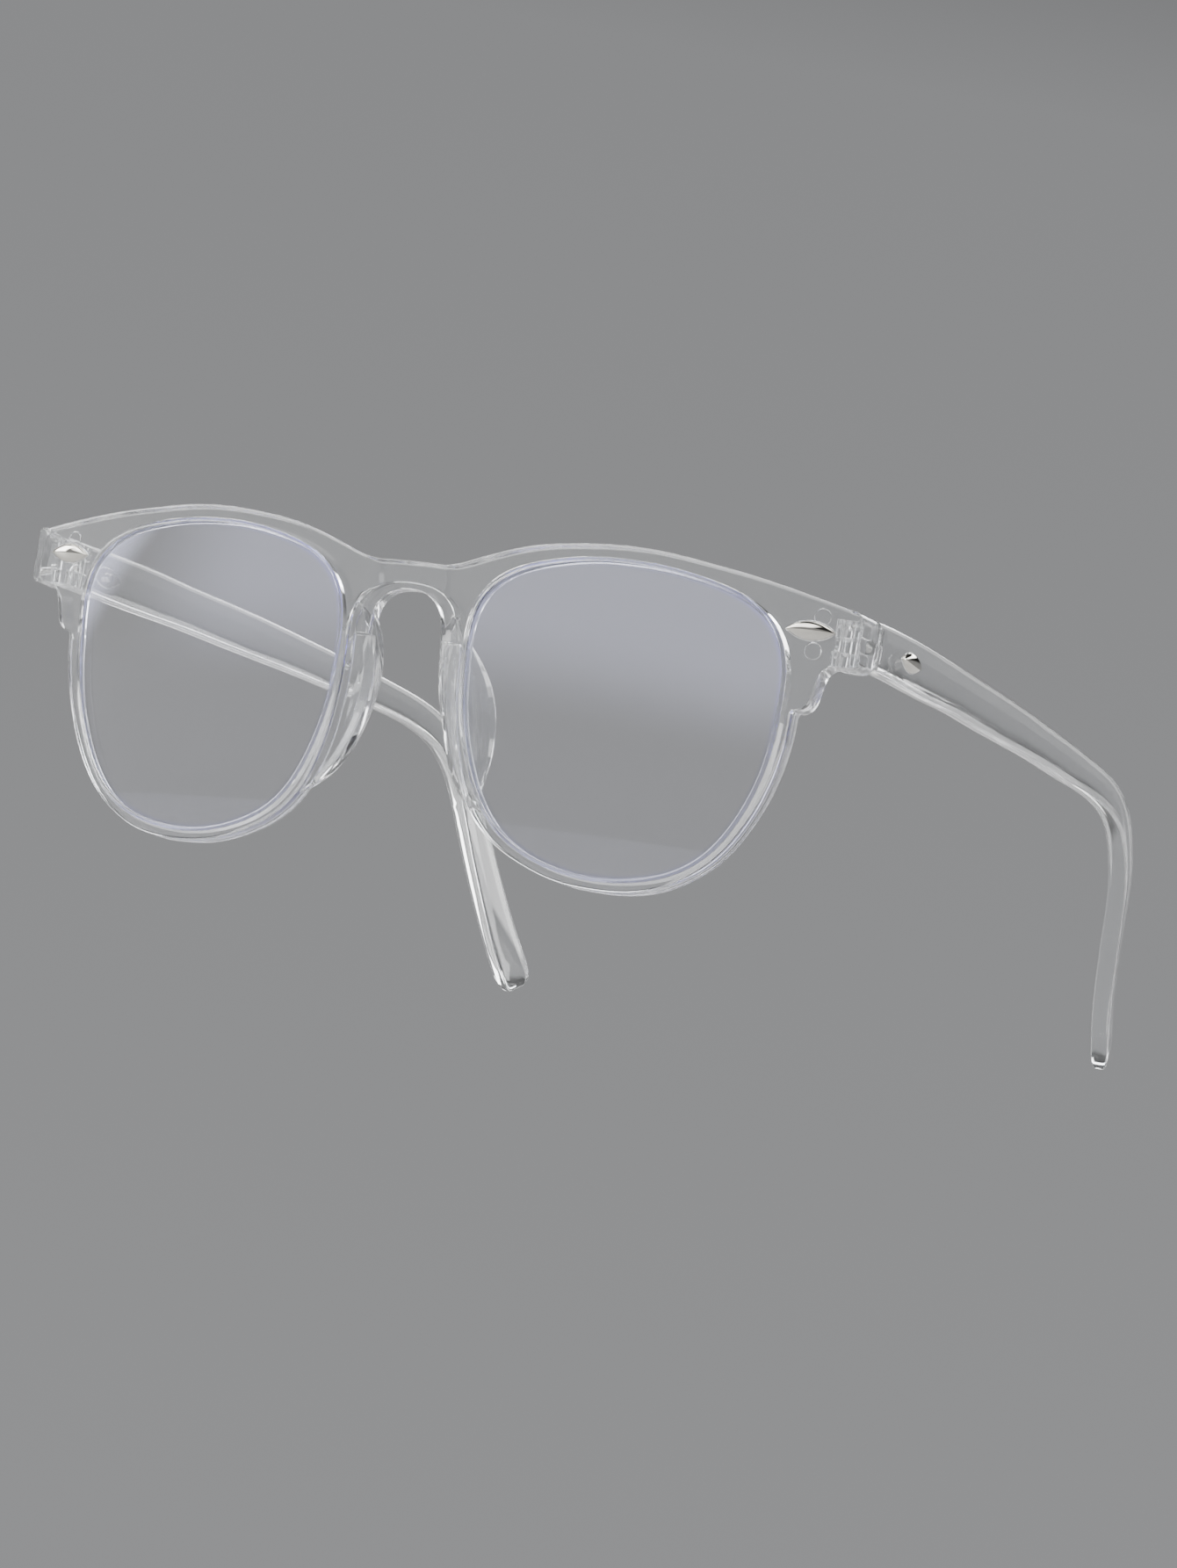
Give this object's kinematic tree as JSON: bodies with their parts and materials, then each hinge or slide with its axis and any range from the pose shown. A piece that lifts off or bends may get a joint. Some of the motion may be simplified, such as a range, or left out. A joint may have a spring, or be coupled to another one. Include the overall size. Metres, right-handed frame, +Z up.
{
  "type": "eyeglasses",
  "caption": "Full-rim eyeglasses with a clear moulded frame, rounded lenses, keyhole bridge with built-in nose pads, almond metal studs and temples that fold on screw hinges.",
  "frame": {"origin": "on the resting plane, under the middle of the bounding box of the open glasses", "axes": "+X towards the wearer's left, -Y the way the wearer looks, +Z up; the open glasses rest on Z = 0 on both rims and both temple tips"},
  "size_m": [0.1442, 0.1602, 0.0508],
  "materials": {
    "clear_frame": "colourless transparent moulded plastic, polished all over",
    "lens": "clear optical lens with a faint blue-violet anti-reflection coating",
    "screw_steel": "plain steel, slotted head",
    "stud_metal": "polished warm silver"
  },
  "bodies": {
    "front": {"frame_front": "clear_frame", "lens_left": "lens", "lens_right": "lens", "hinge_screw_left": "screw_steel", "hinge_screw_right": "screw_steel", "front_stud_left": "stud_metal", "front_stud_right": "stud_metal"},
    "temple_left": {"temple_left": "clear_frame", "temple_stud_left": "clear_frame"},
    "temple_right": {"temple_right": "clear_frame", "temple_stud_right": "clear_frame"}
  },
  "joints": [
    {"name": "fold_left", "type": "hinge", "parent": "front", "child": "temple_left", "pos_m": [0.0675, -0.06235, 0.04154], "axis": [0, 0, 1], "range_deg": [0, 87]},
    {"name": "fold_right", "type": "hinge", "parent": "front", "child": "temple_right", "pos_m": [-0.0675, -0.06235, 0.04154], "axis": [0, 0, -1], "range_deg": [0, 80]}
  ]
}
